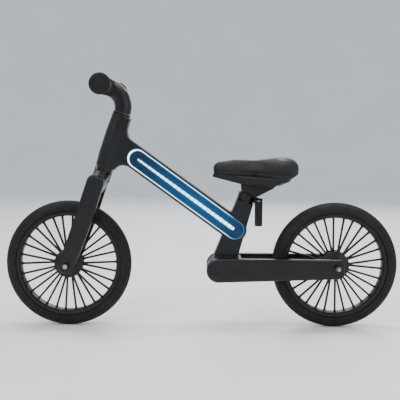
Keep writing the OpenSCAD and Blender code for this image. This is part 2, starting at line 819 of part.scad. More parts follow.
// Cushion, cut off where it rests on the shell
module saddle_pad()
    color("#101113") intersection() {
        union() {
            hull() {
                translate([40.5, 0, 368]) sphere(r = 19.3, $fn = hull_fn);
                both_sides() translate([122, 20, 365]) sphere(r = 19, $fn = hull_fn);
            }
            hull() both_sides() {
                translate([122, 20, 365]) sphere(r = 19, $fn = hull_fn);
                translate([182, 42, 368]) sphere(r = 24, $fn = hull_fn);
                translate([198, 24, 370.6]) sphere(r = 25.7, $fn = hull_fn);
            }
        }
        above_joint(0);
    }

frame();
left_stay();
right_stay();
stay_bolts();
stay_nuts();
upper_headset_cup();
lower_headset_cup();
upper_headset_bearing();
lower_headset_bearing();
left_light_ring();
right_light_ring();
left_centre_strip();
right_centre_strip();
left_light_panel();
right_light_panel();
left_led_board();
right_led_board();
battery_cells();
control_board();
charging_socket();
seat_collar();
clamp_bolt();
cam_pin();
cam_washer();
clamp_nut();
rear_axle();
rear_axle_nuts();
rear_axle_spacers();
rear_hub_spacer();
fork();
steerer();
crown_race();
headset_locknut();
front_axle();
front_axle_nuts();
front_axle_spacers();
front_hub_spacer();
stem();
stem_faceplate();
faceplate_bolts();
expander_bolt();
wedge_nut();
stem_cap();
handlebar();
left_grip();
right_grip();
front_tyre();
front_wheel();
front_wheel_bearings();
rear_tyre();
rear_wheel();
rear_wheel_bearings();
seat_post();
saddle_base();
saddle_pad();
saddle_bolts();
clamp_lever();
power_button();
port_cover();
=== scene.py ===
import json
import math

import bmesh
import bpy
import numpy as np
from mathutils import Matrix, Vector
from mathutils.bvhtree import BVHTree


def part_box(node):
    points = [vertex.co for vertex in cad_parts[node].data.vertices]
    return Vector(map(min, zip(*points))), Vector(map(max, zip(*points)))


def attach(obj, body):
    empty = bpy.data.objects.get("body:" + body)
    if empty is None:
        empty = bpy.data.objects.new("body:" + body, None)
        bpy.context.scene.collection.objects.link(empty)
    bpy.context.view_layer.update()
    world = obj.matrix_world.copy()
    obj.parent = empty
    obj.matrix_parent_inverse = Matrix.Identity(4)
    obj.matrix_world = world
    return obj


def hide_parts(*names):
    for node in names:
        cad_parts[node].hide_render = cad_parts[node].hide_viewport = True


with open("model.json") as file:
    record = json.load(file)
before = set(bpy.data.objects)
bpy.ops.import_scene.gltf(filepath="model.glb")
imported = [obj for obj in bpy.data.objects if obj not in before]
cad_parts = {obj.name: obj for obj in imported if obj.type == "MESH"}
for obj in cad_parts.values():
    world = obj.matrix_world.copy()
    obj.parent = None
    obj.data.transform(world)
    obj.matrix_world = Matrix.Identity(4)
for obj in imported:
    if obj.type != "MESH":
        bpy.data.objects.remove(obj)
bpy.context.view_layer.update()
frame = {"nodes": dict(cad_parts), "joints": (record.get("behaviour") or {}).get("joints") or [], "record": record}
joints = {j["name"]: j for j in frame["joints"]}
scene = bpy.context.scene
MM = 0.001


# ---- Materials ----

class Surface:
    """A Principled material, with short calls for the node chains that give it its detail."""

    def __init__(self, name, colour, rough, metal=0.0, **sockets):
        self.material = bpy.data.materials.new(name)
        self.material.use_nodes = True
        self.material.diffuse_color = (*colour, 1)
        self.tree = self.material.node_tree
        self.shader = self.tree.nodes["Principled BSDF"]
        self.put("Base Color", colour)
        self.put("Roughness", rough)
        self.put("Metallic", metal)
        for socket, value in sockets.items():
            self.put(socket.replace("_", " "), value)
        self.place = self.add("ShaderNodeTexCoord").outputs["Object"]
        self.normal = None

    def add(self, kind, **settings):
        node = self.tree.nodes.new(kind)
        for key, value in settings.items():
            setattr(node, key, value)
        return node

    def feed(self, socket, value):
        """Gives an input a number, a colour or another node's output."""
        if isinstance(value, (int, float)):
            socket.default_value = value
        elif isinstance(value, tuple):
            socket.default_value = (*value, 1)
        else:
            self.tree.links.new(value, socket)

    def put(self, socket, value):
        """Feeds one of the shader's own inputs."""
        self.feed(self.shader.inputs[socket], value)

    def noise(self, scale, detail, stretch=(1, 1, 1)):
        mapping = self.add("ShaderNodeMapping")
        mapping.inputs["Scale"].default_value = stretch
        self.feed(mapping.inputs["Vector"], self.place)
        node = self.add("ShaderNodeTexNoise")
        self.feed(node.inputs["Scale"], scale)
        self.feed(node.inputs["Detail"], detail)
        self.feed(node.inputs["Vector"], mapping.outputs["Vector"])
        return node.outputs["Fac"]

    def cells(self, scale, feature="F1"):
        node = self.add("ShaderNodeTexVoronoi", feature=feature)
        self.feed(node.inputs["Scale"], scale)
        self.feed(node.inputs["Vector"], self.place)
        return node.outputs["Distance"]

    def ramp(self, value, stops):
        """Maps a value through stops of (where, colour), where a plain number stands for a grey."""
        node = self.add("ShaderNodeValToRGB")
        elements = node.color_ramp.elements
        while len(elements) < len(stops):
            elements.new(0.5)
        for element, (where, colour) in zip(elements, stops):
            element.position = where
            element.color = (*colour, 1) if isinstance(colour, tuple) else (colour, colour, colour, 1)
        self.feed(node.inputs["Fac"], value)
        return node.outputs["Color"]

    def math(self, operation, a, b=0.0, clamp=False):
        node = self.add("ShaderNodeMath", operation=operation, use_clamp=clamp)
        self.feed(node.inputs[0], a)
        self.feed(node.inputs[1], b)
        return node.outputs["Value"]

    def mix(self, factor, a, b):
        node = self.add("ShaderNodeMix", data_type="RGBA")
        self.feed(node.inputs["Factor"], factor)
        self.feed(node.inputs["A"], a)
        self.feed(node.inputs["B"], b)
        return node.outputs["Result"]

    def rough(self, value, low, high):
        self.put("Roughness", self.ramp(value, [(0.3, low), (0.7, high)]))

    def bump(self, height, strength, distance):
        """Adds one more layer of bump on top of those already there."""
        node = self.add("ShaderNodeBump")
        self.feed(node.inputs["Strength"], strength)
        self.feed(node.inputs["Distance"], distance)
        self.feed(node.inputs["Height"], height)
        if self.normal:
            self.feed(node.inputs["Normal"], self.normal)
        self.normal = node.outputs["Normal"]
        self.put("Normal", self.normal)


def powder_coat(name, tone=0.0042):
    """Satin black coat with a fine orange peel, rubbed a little paler along the edges."""
    s = Surface(name, (tone, tone * 1.05, tone * 1.2), 0.36, Specular_IOR_Level=0.32)
    dark = (tone * 0.8, tone * 0.86, tone)
    pale = (tone * 1.3, tone * 1.4, tone * 1.65)
    base = s.ramp(s.noise(14, 4), [(0.3, dark), (0.7, pale)])
    pointiness = s.add("ShaderNodeNewGeometry").outputs["Pointiness"]
    edge = s.ramp(pointiness, [(0.53, 0.0), (0.62, 1.0)])
    rubbed = s.math("MULTIPLY", edge, s.ramp(s.noise(90, 5), [(0.4, 0.1), (0.62, 0.8)]))
    s.put("Base Color", s.mix(rubbed, base, (0.024, 0.026, 0.03)))
    s.rough(s.noise(60, 5), 0.30, 0.44)
    s.bump(s.noise(1400, 2), 0.25, 0.12 * MM)
    s.bump(s.noise(260, 3), 0.12, 0.3 * MM)
    return s.material


def moulded_plastic(name, tone=0.005, rough=0.42):
    """Black nylon with a fine spark-eroded grain."""
    s = Surface(name, (tone, tone, tone * 1.1), rough, Specular_IOR_Level=0.3)
    pale = (tone * 1.5, tone * 1.5, tone * 1.65)
    s.put("Base Color", s.ramp(s.noise(30, 5), [(0.3, tone * 0.75), (0.7, pale)]))
    s.rough(s.noise(120, 4), rough - 0.07, rough + 0.09)
    s.bump(s.noise(1900, 3), 0.35, 0.15 * MM)
    return s.material


def rubber(name, tone, rough, dust, grain=1500):
    """Matt rubber with a fine grain and a little dust."""
    s = Surface(name, (tone, tone, tone), rough, Specular_IOR_Level=0.25)
    base = s.ramp(s.noise(25, 5), [(0.35, tone * 0.8), (0.7, tone * 1.35)])
    dusty = s.math("MULTIPLY", s.ramp(s.noise(55, 6), [(0.5, 0.0), (0.78, 1.0)]), dust)
    s.put("Base Color", s.mix(dusty, base, (0.022, 0.021, 0.019)))
    s.rough(s.noise(80, 5), rough - 0.08, rough + 0.12)
    s.bump(s.noise(grain, 3), 0.45, 0.2 * MM)
    s.bump(s.cells(grain / 4), 0.12, 0.2 * MM)
    return s.material


def grained_leather(name):
    """Black synthetic leather: small pebbles with creases between them, the creases painted darker as shade."""
    s = Surface(name, (0.006, 0.006, 0.007), 0.5, Specular_IOR_Level=0.3)
    from_crease = s.cells(620, "DISTANCE_TO_EDGE")
    pebble = s.ramp(s.noise(18, 5), [(0.3, (0.0045, 0.0045, 0.005)), (0.7, (0.009, 0.009, 0.01))])
    # Painted shade: the colour is darkened in the creases between the pebbles, where shade would fall
    painted_crease_shade = s.ramp(from_crease, [(0.0, 1.0), (0.12, 0.0)])
    s.put("Base Color", s.mix(painted_crease_shade, pebble, (0.003, 0.003, 0.003)))
    s.rough(s.noise(45, 5), 0.42, 0.6)
    s.bump(s.ramp(from_crease, [(0.0, 0.0), (0.25, 1.0)]), 0.5, 0.25 * MM)
    s.bump(s.noise(2600, 3), 0.25, 0.1 * MM)
    return s.material


def turned_steel(name, tone, rough):
    """Metal with the fine lines that turning or brushing leaves."""
    s = Surface(name, (tone, tone, tone * 1.02), rough, 1.0)
    dark = (tone * 0.8, tone * 0.81, tone * 0.84)
    s.put("Base Color", s.ramp(s.noise(70, 5), [(0.3, dark), (0.7, tone * 1.1)]))
    s.rough(s.noise(200, 4), rough - 0.08, rough + 0.12)
    s.bump(s.noise(240, 3, stretch=(1, 9, 1)), 0.3, 0.12 * MM)
    return s.material


def anodised(name, tone=0.022):
    """Dark anodised aluminium with faint drawing lines."""
    s = Surface(name, (tone, tone, tone * 1.1), 0.3, 0.85)
    pale = (tone * 1.35, tone * 1.35, tone * 1.5)
    s.put("Base Color", s.ramp(s.noise(35, 4), [(0.3, tone * 0.8), (0.7, pale)]))
    s.rough(s.noise(160, 4), 0.24, 0.38)
    s.bump(s.noise(300, 3, stretch=(1, 12, 1)), 0.2, 0.1 * MM)
    return s.material


def coated_board(name, colour):
    """Lacquer or shrink film, slightly mottled, on the boards and the cells inside the beam."""
    s = Surface(name, colour, 0.4)
    dark = tuple(c * 0.7 for c in colour)
    pale = tuple(c * 1.3 for c in colour)
    s.put("Base Color", s.ramp(s.noise(160, 4), [(0.35, dark), (0.65, pale)]))
    s.rough(s.noise(90, 3), 0.34, 0.5)
    s.bump(s.cells(500), 0.2, 0.1 * MM)
    return s.material


# The light's own frame: p runs down the beam from the upper end of the ring's middle line, q across it
press = Vector(joints["power_button_press"]["axis"])
down_beam = Vector((press.z, 0, -press.x))


def capsule_of(node):
    """Upper end of the middle line, its length and the radius of a capsule along the beam."""
    lo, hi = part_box(node)
    width = hi.x - lo.x
    height = hi.z - lo.z
    length = (width - height) / (down_beam.x + down_beam.z)
    radius = (width - length * down_beam.x) / 2
    return Vector((lo.x + radius, 0, hi.z - radius)), length, radius


ring_top, ring_len, ring_r = capsule_of("left_light_ring")
_, panel_len, panel_r = capsule_of("left_light_panel")
# Both end at the same point of the beam, and the panel's middle line starts this much further down
panel_start = ring_len - panel_len

# Spacing of the lamps behind the strip, spacing of the panel's ribs, and the half width within
# which the strip lights up
LAMP_PITCH = 12 * MM
RIB_PITCH = 3 * MM
STRIP_HALF = 5 * MM


def beam_coordinates(s):
    """Sockets for p and q, in metres."""
    node = s.add("ShaderNodeSeparateXYZ")
    s.feed(node.inputs["Vector"], s.place)
    x = s.math("SUBTRACT", node.outputs["X"], ring_top.x)
    z = s.math("SUBTRACT", node.outputs["Z"], ring_top.z)
    p = s.math("ADD", s.math("MULTIPLY", x, down_beam.x), s.math("MULTIPLY", z, down_beam.z))
    q = s.math("SUBTRACT", s.math("MULTIPLY", z, down_beam.x), s.math("MULTIPLY", x, down_beam.z))
    return p, q


def from_line(s, p, q, start):
    """Distance from the part of the middle line that runs from start to the ring's lower end."""
    outside = s.math("MAXIMUM", s.math("SUBTRACT", start, p), s.math("SUBTRACT", p, ring_len))
    outside = s.math("MAXIMUM", outside, 0.0)
    return s.math("SQRT", s.math("ADD", s.math("POWER", outside, 2.0), s.math("POWER", q, 2.0)))


def fall_off(s, distance, reach):
    """1 at no distance, falling to 0 at reach as the square of what is left."""
    left = s.math("SUBTRACT", 1.0, s.math("DIVIDE", distance, reach), clamp=True)
    return s.math("POWER", left, 2.0)


def wave(s, value, pitch, low):
    """Swings between low and 1 once every pitch."""
    swing = s.math("COSINE", s.math("MULTIPLY", value, 2 * math.pi / pitch))
    return s.math("ADD", s.math("MULTIPLY", swing, (1 - low) / 2), (1 + low) / 2)


def light_guide(name):
    """Frosted blue plastic without its light, shared by the ring and the strip."""
    s = Surface(name, (0.02, 0.08, 0.12), 0.4, Specular_IOR_Level=0.2)
    dark = (0.016, 0.07, 0.1)
    pale = (0.026, 0.1, 0.14)
    s.put("Base Color", s.ramp(s.noise(300, 2), [(0.3, dark), (0.7, pale)]))
    s.bump(s.noise(1200, 2), 0.15, 0.1 * MM)
    return s


def lit_ring(name):
    """Light guide: a white line in its width, bright round the head end, dim and blue at the seat end."""
    s = light_guide(name)
    p, q = beam_coordinates(s)
    in_from_rim = s.math("SUBTRACT", ring_r, from_line(s, p, q, 0.0))
    out_from_panel = s.math("SUBTRACT", from_line(s, p, q, panel_start), panel_r)
    across = s.math("DIVIDE", in_from_rim, s.math("ADD", in_from_rim, out_from_panel))
    line = s.ramp(across, [(0.0, 0.03), (0.16, 0.1), (0.3, 1.0), (0.78, 1.0), (0.92, 0.16), (1.0, 0.05)])
    slanted = s.math("ADD", p, s.math("MULTIPLY", q, 0.7))
    along = s.math("DIVIDE", slanted, ring_len)
    fading = s.ramp(along, [(0.0, 1.0), (0.12, 0.66), (0.6, 0.62),
                            (0.92, 0.46), (0.985, 0.12), (1.0, 0.06)])
    s.put("Emission Strength", s.math("MULTIPLY", s.math("MULTIPLY", line, fading), 3.2))
    tint = s.ramp(line, [(0.1, (0.0, 0.32, 0.6)), (0.9, (0.72, 1.0, 1.0))])
    at_seat_end = s.ramp(along, [(0.9, 0.0), (1.0, 1.0)])
    s.put("Emission Color", s.mix(at_seat_end, tint, (0.06, 0.4, 1.0)))
    return s.material


def lit_strip(name):
    """Diffuser down the middle, beaded by the lamps behind it: white with cyan edges."""
    s = light_guide(name)
    p, q = beam_coordinates(s)
    along = s.math("DIVIDE", p, ring_len)
    bead = wave(s, p, LAMP_PITCH, 0.0)
    uneven = s.math("MULTIPLY", bead, s.ramp(s.noise(60, 2), [(0.35, 0.04), (0.65, 0.26)]))
    share = s.ramp(along, [(0.0, 0.42), (0.15, 0.5), (0.4, 0.66), (0.96, 0.84)])
    share = s.math("MULTIPLY", share, s.math("ADD", uneven, 0.86))
    half = s.math("MULTIPLY", share, STRIP_HALF)
    across = s.math("DIVIDE", s.math("ABSOLUTE", q), s.math("MULTIPLY", half, 2.0))
    line = s.ramp(across, [(0.36, 1.0), (0.52, 0.3), (0.75, 0.05)])
    fading = s.ramp(along, [(0.0, 0.8), (0.3, 1.0)])
    fading = s.math("MULTIPLY", fading, wave(s, p, LAMP_PITCH, 0.7))
    s.put("Emission Strength", s.math("MULTIPLY", s.math("MULTIPLY", line, fading), 3.4))
    s.put("Emission Color", s.ramp(line, [(0.1, (0.0, 0.4, 0.7)), (0.85, (0.75, 1.0, 1.0))]))
    return s.material


def glowing_panel(name):
    """Ribbed smoked lens with the light of the strip and the ring spread in it, darker at both ends."""
    s = Surface(name, (0.002, 0.012, 0.025), 0.3, Specular_IOR_Level=0.25)
    p, q = beam_coordinates(s)
    to_ring = s.math("SUBTRACT", panel_r, from_line(s, p, q, panel_start))
    to_strip = s.math("SUBTRACT", s.math("ABSOLUTE", q), 4.5 * MM)
    near_ring = s.math("MULTIPLY", fall_off(s, to_ring, 5 * MM), 0.14)
    near_strip = s.math("MULTIPLY", fall_off(s, to_strip, 8 * MM), 0.42)
    along = s.ramp(s.math("DIVIDE", p, ring_len),
                   [(0.0, 0.08), (0.1, 0.22), (0.3, 0.66), (0.6, 1.0), (0.88, 0.8), (1.0, 0.2)])
    glow = s.math("ADD", s.math("ADD", near_ring, near_strip), 0.42)
    glow = s.math("MULTIPLY", glow, along)
    ribs = wave(s, p, RIB_PITCH, 0.0)
    glow = s.math("MULTIPLY", glow, s.math("ADD", s.math("MULTIPLY", ribs, 0.4), 0.6))
    glow = s.math("MULTIPLY", glow, s.ramp(s.noise(160, 3), [(0.3, 0.86), (0.7, 1.0)]))
    blues = [(0.0, (0.0, 0.008, 0.025)), (0.45, (0.0, 0.085, 0.27)), (1.0, (0.01, 0.3, 0.62))]
    s.put("Emission Color", s.ramp(glow, blues))
    s.put("Emission Strength", 1.0)
    s.put("Base Color", s.ramp(s.noise(40, 3), [(0.3, (0.0015, 0.009, 0.02)), (0.7, (0.003, 0.016, 0.03))]))
    s.rough(s.noise(150, 3), 0.24, 0.36)
    s.bump(ribs, 0.3, 0.2 * MM)
    return s.material


paint = powder_coat("frame_paint")
stem_paint = powder_coat("stem_paint", 0.0038)
nylon = moulded_plastic("wheel_nylon")
shell_plastic = moulded_plastic("saddle_shell", 0.0045, 0.5)
tyre_rubber = rubber("tyre_rubber", 0.006, 0.68, 0.4)
grip_rubber = rubber("grip_rubber", 0.0045, 0.58, 0.12, 1800)
leather = grained_leather("saddle_cover")
# The looks of the CAD meshes, by their material slots
looks = {
    "stem_paint": stem_paint,
    "fastener_black": turned_steel("fastener_black", 0.035, 0.34),
    "bright_steel": turned_steel("bright_steel", 0.34, 0.3),
    "headset_black": anodised("headset_black"),
    "light_ring": lit_ring("light_ring"),
    "light_strip": lit_strip("light_strip"),
    "light_panel": glowing_panel("light_panel"),
    "circuit_board": coated_board("circuit_board", (0.02, 0.12, 0.06)),
    "battery_wrap": coated_board("battery_wrap", (0.03, 0.12, 0.3)),
    "soft_rubber": rubber("soft_rubber", 0.006, 0.6, 0.15),
    "post_black": anodised("post_black", 0.03),
    "lever_black": anodised("lever_black", 0.02),
}
for part in frame["record"]["subparts"]:
    look = looks.get(part["material_slot"])
    if look:
        node_mesh = frame["nodes"][part["node"]].data
        node_mesh.materials.clear()
        node_mesh.materials.append(look)


# ---- Mesh helpers ----

def add_object(name, mesh, material):
    """A smooth-shaded object of one material."""
    piece = bpy.data.objects.new(name, mesh)
    scene.collection.objects.link(piece)
    mesh.materials.clear()
    mesh.materials.append(material)
    for polygon in mesh.polygons:
        polygon.use_smooth = True
    return piece


def mesh_from(name, points, faces):
    """A mesh from lists of points and of faces."""
    mesh = bpy.data.meshes.new(name)
    mesh.from_pydata([tuple(v) for v in points], [], faces)
    mesh.update()
    return mesh


def apply_modifiers(piece):
    """Gives the piece the mesh that its modifiers make, and takes them off."""
    depsgraph = bpy.context.evaluated_depsgraph_get()
    mesh = bpy.data.meshes.new_from_object(piece.evaluated_get(depsgraph))
    piece.modifiers.clear()
    old, piece.data = piece.data, mesh
    bpy.data.meshes.remove(old)
    for polygon in mesh.polygons:
        polygon.use_smooth = True


def copy_of_node(name, node, material):
    """A new piece with the shape of a CAD node, its doubled points merged."""
    bm = bmesh.new()
    bm.from_mesh(frame["nodes"][node].data)
    bmesh.ops.remove_doubles(bm, verts=bm.verts, dist=1e-6)
    mesh = bpy.data.meshes.new(name)
    bm.to_mesh(mesh)
    bm.free()
    return add_object(name, mesh, material)


def soften(piece, voxel, rounds, keep=None):
    """Rounds a piece's edges, the more the larger the voxel and the more the rounds of smoothing;
    keep is the share of the faces that is left afterwards."""
    remesh = piece.modifiers.new("remesh", "REMESH")
    remesh.mode = "VOXEL"
    remesh.voxel_size = voxel
    smooth = piece.modifiers.new("smooth", "SMOOTH")
    smooth.factor = 0.5
    smooth.iterations = rounds
    if keep:
        decimate = piece.modifiers.new("decimate", "DECIMATE")
        decimate.ratio = keep
    apply_modifiers(piece)


def casting(name, node, body, material, voxel, rounds):
    """A CAD node with its edges rounded, as a casting or moulding has them."""
    piece = copy_of_node(name, node, material)
    soften(piece, voxel, rounds, keep=0.5)
    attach(piece, body)
    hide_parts(node)


def rounded(profile, radius):
    """A closed profile with each corner replaced by three points of a small curve."""
    corners = [np.array(p, float) for p in profile]
    out = []
    for i, corner in enumerate(corners):
        back = corners[i - 1] - corner
        ahead = corners[(i + 1) % len(corners)] - corner
        reach = min(radius, 0.4 * np.linalg.norm(back), 0.4 * np.linalg.norm(ahead))
        start = corner + back / np.linalg.norm(back) * reach
        end = corner + ahead / np.linalg.norm(ahead) * reach
        out += [start, 0.25 * start + 0.5 * corner + 0.25 * end, end]
    return out


def strips(rows, columns, rows_closed=True, columns_closed=True):
    """Faces of a net of points that are listed row by row. A closed direction joins up with its start."""
    faces = []
    for row in range(rows if rows_closed else rows - 1):
        here = row * columns
        there = (row + 1) % rows * columns
        for i in range(columns if columns_closed else columns - 1):
            j = (i + 1) % columns
            faces.append((here + i, here + j, there + j, there + i))
    return faces


def lathe(profile, centre, segments, shift=None):
    """Points and faces of a closed (radius, y) profile turned about the Y axis through centre.
    shift(angle, radius, y) gives how far a point moves outwards."""
    points = []
    for k in range(segments):
        angle = 2 * math.pi * k / segments
        for radius, y in profile:
            r = radius + (shift(angle, radius, y) if shift else 0.0)
            points.append((centre.x + r * math.cos(angle), centre.y + y, centre.z + r * math.sin(angle)))
    return points, strips(segments, len(profile))


def join(parts):
    """One list of points and one of faces from several."""
    points, faces = [], []
    for more_points, more_faces in parts:
        base = len(points)
        points += more_points
        faces += [tuple(base + i for i in face) for face in more_faces]
    return points, faces


def outward(mesh):
    """Turns all faces of a closed mesh outwards."""
    bm = bmesh.new()
    bm.from_mesh(mesh)
    bmesh.ops.recalc_face_normals(bm, faces=bm.faces)
    bm.to_mesh(mesh)
    bm.free()


def finished(name, parts, body, node, material):
    """A piece made of the parts' points and faces, riding in place of a CAD node."""
    mesh = mesh_from(name, *join(parts))
    outward(mesh)
    piece = add_object(name, mesh, material)
    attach(piece, body)
    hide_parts(node)


def bump_at(value, centre, half_width):
    """1 at centre, falling smoothly to 0 half_width away."""
    t = max(0.0, 1 - abs(value - centre) / half_width)
    return t * t * (3 - 2 * t)


# ---- Castings and mouldings from the CAD ----

casting("frame_casting", "frame", "frame", paint, 1.2 * MM, 6)
casting("left_stay_casting", "left_stay", "frame", paint, 1.2 * MM, 9)
casting("right_stay_casting", "right_stay", "frame", paint, 1.2 * MM, 9)
casting("fork_casting", "fork", "fork_and_bars", paint, 1.2 * MM, 8)
casting("stem_forging", "stem", "fork_and_bars", stem_paint, 0.8 * MM, 6)
casting("stem_front_plate", "stem_faceplate", "fork_and_bars", stem_paint, 0.7 * MM, 5)
casting("collar_casting", "seat_collar", "frame", stem_paint, 0.7 * MM, 4)
casting("lever_forging", "clamp_lever", "lever", looks["lever_black"], 0.5 * MM, 5)


# ---- Tyres ----

TREAD_BLOCKS = 75
SHOULDER_IN, SHOULDER_OUT = 9.0, 15.5


def tread(angle, y):
    """Depth of the tread: two grooves on each side of the middle run round the tyre, short ones
    cross the shoulders, and shallow nicks cross the middle."""
    y = abs(y) / MM
    depth = bump_at(y, 4.0, 1.3) + bump_at(y, SHOULDER_IN, 1.4)
    phase = (angle * TREAD_BLOCKS / (2 * math.pi)) % 1.0
    if SHOULDER_IN < y < SHOULDER_OUT:
        run_out = min(1.0, (SHOULDER_OUT - y) / 1.5)
        depth = max(depth, 0.9 * bump_at(phase, 0.5, 0.3) * run_out)
    if y < 4.0:
        half_step = (phase + 0.5) % 1.0
        depth = max(depth, 0.45 * bump_at(half_step, 0.5, 0.22) * bump_at(y, 1.6, 2.2))
    return depth * MM


def make_tyre(name, node, body, joint):
    """A round tyre with tread, two fine lines on each side wall and beads that sit in the rim."""
    lo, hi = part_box(node)
    centre = Vector(joints[joint]["pos_m"])
    half = (hi.y - lo.y) / 2
    middle_r = (hi.x - lo.x) / 2 - half
    arc = math.radians(101)
    steps = 68
    profile = []
    for i in range(steps + 1):
        a = arc * (2 * i / steps - 1)
        lines = bump_at(abs(a), math.radians(80), 0.06) + bump_at(abs(a), math.radians(63), 0.05)
        r = half - 0.22 * MM * lines
        profile.append((middle_r + r * math.cos(a), r * math.sin(a)))
    seat = middle_r - 3.9 * MM
    bead = [(seat, 17.3 * MM), (seat, 14.3 * MM), (seat - 5.4 * MM, 12.4 * MM)]
    profile += bead + [(r, -y) for r, y in reversed(bead)]

    def shift(angle, radius, y):
        return -tread(angle, y) if radius > middle_r + 0.5 * half else 0.0

    tyre = lathe(profile, centre, 450, shift)
    finished(name, [tyre], body, node, tyre_rubber)


make_tyre("front_tyre_tread", "front_tyre", "front_wheel", "front_wheel_spin")
make_tyre("rear_tyre_tread", "rear_tyre", "rear_wheel", "rear_wheel_spin")


# ---- Moulded wheels ----

SPOKES = 30
FLANGE_R = 33
# How far from the wheel's middle plane a spoke starts in the hub's flange and ends in the rim
FLANGE_Y = 12
RIM_Y = 3.8


def oblong(t, wide, deep):
    """Point at angle t on a rounded oblong of these half sizes."""
    u = math.copysign(abs(math.cos(t)) ** 0.6, math.cos(t)) * wide
    v = math.copysign(abs(math.sin(t)) ** 0.6, math.sin(t)) * deep
    return u, v


def spoke(centre, angle, side, rim_in):
    """One spoke: a rounded bar that widens into the hub flange and into the rim. Lengths in mm."""
    along = Vector((math.cos(angle), 0, math.sin(angle)))
    across = Vector((-math.sin(angle), 0, math.cos(angle)))
    start = FLANGE_R - 5
    end = rim_in + 3
    foot_len, head_len = 13, 9
    steps, sides = 16, 12
    points = []
    for i in range(steps + 1):
        r = start + (end - start) * i / steps
        lean = max(0.0, r - (FLANGE_R - 3)) / (rim_in + 2.5 - FLANGE_R)
        y = side * (FLANGE_Y - (FLANGE_Y - RIM_Y) * lean)
        foot = max(0.0, 1 - (r - start) / foot_len) ** 2
        head = max(0.0, 1 - (end - r) / head_len) ** 2
        wide = 2.4 + 1.7 * foot + 2.4 * head
        deep = 3.0 + 0.6 * foot + 2.0 * head
        for k in range(sides):
            u, v = oblong(2 * math.pi * k / sides, wide, deep)
            points.append(centre + MM * (along * r + across * u + Vector((0, y + v, 0))))
    faces = strips(steps + 1, sides, rows_closed=False)
    faces.append(tuple(range(sides)))
    faces.append(tuple(reversed(range(steps * sides, (steps + 1) * sides))))
    return points, faces


def in_metres(profile):
    """The points of a profile in mm as metres."""
    return [(r * MM, y * MM) for r, y in profile]


def make_wheel(name, node, body, joint, turn):
    """Rim, hub and spokes, moulded as one. Profiles are (radius, y) in mm; turn is in degrees."""
    lo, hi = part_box(node)
    centre = Vector(joints[joint]["pos_m"])
    hub_half = (hi.y - lo.y) / 2 / MM
    outer = (hi.x - lo.x) / 2 / MM
    rim_in = outer - 11
    well = outer - 5.5
    # A band raised by 0.6 down the middle of the rim's inner face carries the spokes
    rim = [(rim_in, -12), (rim_in, -7), (rim_in - 0.6, -6), (rim_in - 0.6, 6), (rim_in, 7), (rim_in, 12),
           (rim_in + 3, 17), (outer, 17), (outer, 14.4), (well, 12.6),
           (well, -12.6), (outer, -14.4), (outer, -17), (rim_in + 3, -17)]
    bore, seat = 11, 13.05
    seat_y = hub_half - 8
    hub = [(bore, -seat_y), (bore, seat_y), (seat, seat_y), (seat, hub_half), (17, hub_half),
           (18, 18), (FLANGE_R, 15), (FLANGE_R, 9), (19, 7),
           (19, -7), (FLANGE_R, -9), (FLANGE_R, -15), (18, -18),
           (17, -hub_half), (seat, -hub_half), (seat, -seat_y)]
    parts = [lathe(in_metres(rounded(rim, 1.2)), centre, 180),
             lathe(in_metres(rounded(hub, 1.4)), centre, 96)]
    for i in range(SPOKES):
        angle = math.radians(i * 360 / SPOKES + turn)
        side = -1 if i % 2 == 0 else 1
        parts.append(spoke(centre, angle, side, rim_in))
    finished(name, parts, body, node, nylon)


make_wheel("front_wheel_moulding", "front_wheel", "front_wheel", "front_wheel_spin", turn=1.8)
make_wheel("rear_wheel_moulding", "rear_wheel", "rear_wheel", "rear_wheel_spin", turn=7.6)


# ---- Grips ----

def make_grip(name, node, side):
    """A grip: a collar at its inner end, a ribbed barrel, and a disc round its outer end, where a
    groove circles the flat end. Profiles are (radius, y) in mm."""
    lo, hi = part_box(node)
    bar_lo, bar_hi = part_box("handlebar")
    centre = (bar_lo + bar_hi) / 2
    end = max(abs(lo.y), abs(hi.y)) / MM
    start = min(abs(lo.y), abs(hi.y)) / MM
    disc = (hi.z - lo.z) / 2 / MM
    bore, floor_y, middle = 11.14, end - 3.95, 0.02
    collar = [(bore, start), (19, start), (20, start + 1.5), (20, start + 3.5), (18, start + 5.5),
              (15.5, start + 7)]
    steps = 80
    barrel = []
    for i in range(steps + 1):
        t = i / steps
        y = start + 10 + (end - start - 26) * t
        barrel.append((14.6 + t + 0.9 * math.sin(math.pi * t), y))
    rim = [(17.2, end - 11), (18.5, end - 9), (disc - 1.4, end - 7.6), (disc, end - 5),
           (disc - 0.6, end - 2.4), (disc - 3, end - 0.7), (disc - 6, end - 0.15)]
    groove = [(13.5, end), (12.8, end - 0.9), (11.6, end - 0.9), (10.9, end)]
    flat = [(5, end), (middle, end), (middle, floor_y), (bore, floor_y)]
    profile = [(r * MM, side * y * MM) for r, y in collar + barrel + rim + groove + flat]

    def shift(angle, radius, y):
        """Ribs round the barrel, deeper along three pads."""
        y = abs(y) / MM
        first, last = start + 12, end - 18
        if not first < y < last or radius < 14 * MM:
            return 0.0
        fade = min(1.0, (y - first) / 2, (last - y) / 2)
        ribs = 0.5 + 0.5 * math.cos(2 * math.pi * y / 3.6)
        pads = 0.55 + 0.45 * math.cos(3 * angle)
        return -0.85 * MM * (1 - ribs) * fade * max(0.25, pads)

    grip = lathe(profile, centre, 96, shift)
    finished(name, [grip], "fork_and_bars", node, grip_rubber)


make_grip("left_grip_rubber", "left_grip", -1)
make_grip("right_grip_rubber", "right_grip", 1)


# ---- Saddle ----

# Side view of the joint between shell and pad, as (x, z)
JOINT_LINE = [(-0.030, 0.3585), (0.130, 0.3512), (0.176, 0.3490), (0.206, 0.3503), (0.240, 0.3720)]


def joint_height(x):
    """Height of the joint, which is level across the saddle."""
    return float(np.interp(x, [p[0] for p in JOINT_LINE], [p[1] for p in JOINT_LINE]))


def move_joint_face(piece, distance):
    """Moves the face that lies in the joint up by distance, so that softening leaves the joint crisp."""
    for v in piece.data.vertices:
        if abs(v.co.z - joint_height(v.co.x)) < 0.4 * MM:
            v.co.z += distance


